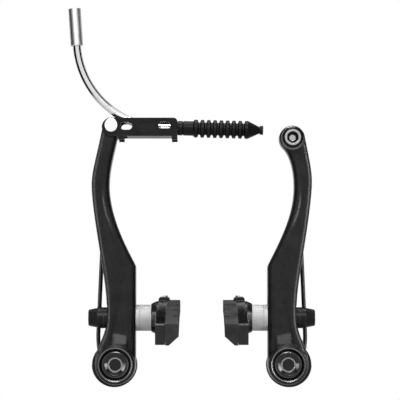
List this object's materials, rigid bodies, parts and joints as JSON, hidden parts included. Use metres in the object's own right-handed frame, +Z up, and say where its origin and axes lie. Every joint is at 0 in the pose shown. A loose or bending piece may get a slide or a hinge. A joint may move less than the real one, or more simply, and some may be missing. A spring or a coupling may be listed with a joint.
{
  "type": "v brake",
  "caption": "Pair of linear-pull rim brake arms with cartridge pads, wire return springs, a hinged cable link, a bent noodle pipe and a bellows boot.",
  "frame": {"origin": "midway between the two frame boss axes, in the plane of the boss shoulders", "axes": "+X to the viewer's right from in front, +Y back to the frame bosses along their axes, +Z up"},
  "size_m": [0.1156, 0.0705, 0.1778],
  "materials": {
    "arm_black": "satin",
    "steel_black": "gloss",
    "steel_plain": "satin",
    "steel_bright": "polished",
    "spring_black": "satin",
    "plastic_black": "matte",
    "spacer_silver": "satin",
    "washer_black": "satin",
    "holder_black": "satin",
    "pad_rubber": "matte",
    "link_black": "satin",
    "ferrule_silver": "satin",
    "liner_plastic": "satin",
    "boot_rubber": "matte"
  },
  "bodies": {
    "base": {"left_pivot_bush": "steel_plain", "left_fixing_bolt": "steel_black", "left_fixing_washer": "steel_black", "left_spring_housing": "plastic_black", "left_stopper_pin": "steel_plain", "left_tension_screw": "steel_black", "right_pivot_bush": "steel_plain", "right_fixing_bolt": "steel_black", "right_fixing_washer": "steel_black", "right_spring_housing": "plastic_black", "right_stopper_pin": "steel_plain", "right_tension_screw": "steel_black"},
    "left_arm": {"left_arm": "arm_black", "left_return_spring": "spring_black", "left_inner_dome_washer": "spacer_silver", "left_inner_cup_washer": "spacer_silver", "left_outer_dome_washer": "washer_black", "left_outer_cup_washer": "washer_black", "left_pad_nut": "steel_black", "left_pad_stud": "steel_plain", "left_pad_holder": "holder_black", "left_pad_insert": "pad_rubber", "left_pad_keeper": "steel_plain", "link_pin": "steel_bright"},
    "right_arm": {"right_arm": "arm_black", "right_return_spring": "spring_black", "right_inner_dome_washer": "spacer_silver", "right_inner_cup_washer": "spacer_silver", "right_outer_dome_washer": "washer_black", "right_outer_cup_washer": "washer_black", "right_pad_nut": "steel_black", "right_pad_stud": "steel_plain", "right_pad_holder": "holder_black", "right_pad_insert": "pad_rubber", "right_pad_keeper": "steel_plain", "cable_bolt": "steel_black", "cable_washer": "steel_bright"},
    "link": {"cable_link": "link_black"},
    "noodle": {"noodle_pipe": "steel_bright", "noodle_liner": "liner_plastic", "noodle_ferrule": "ferrule_silver", "boot": "boot_rubber"}
  },
  "joints": [
    {"name": "left_arm_pivot", "type": "hinge", "parent": "base", "child": "left_arm", "pos_m": [-0.04, -0.0165, 0], "axis": [0, 1, 0], "range_deg": [-30, 1.5], "stiffness_Nm_per_rad": 0.8, "deforming": ["left_return_spring"]},
    {"name": "right_arm_pivot", "type": "hinge", "parent": "base", "child": "right_arm", "pos_m": [0.04, -0.0165, 0], "axis": [0, -1, 0], "range_deg": [-30, 1.5], "stiffness_Nm_per_rad": 0.8, "deforming": ["right_return_spring"]},
    {"name": "link_pivot", "type": "hinge", "parent": "left_arm", "child": "link", "pos_m": [-0.0423, -0.0165, 0.1114], "axis": [0, -1, 0], "range_deg": [-20, 70]},
    {"name": "noodle_swivel", "type": "hinge", "parent": "link", "child": "noodle", "pos_m": [-0.012, -0.0165, 0.1106], "axis": [1, 0, 0], "range_deg": [-12, 12]}
  ]
}
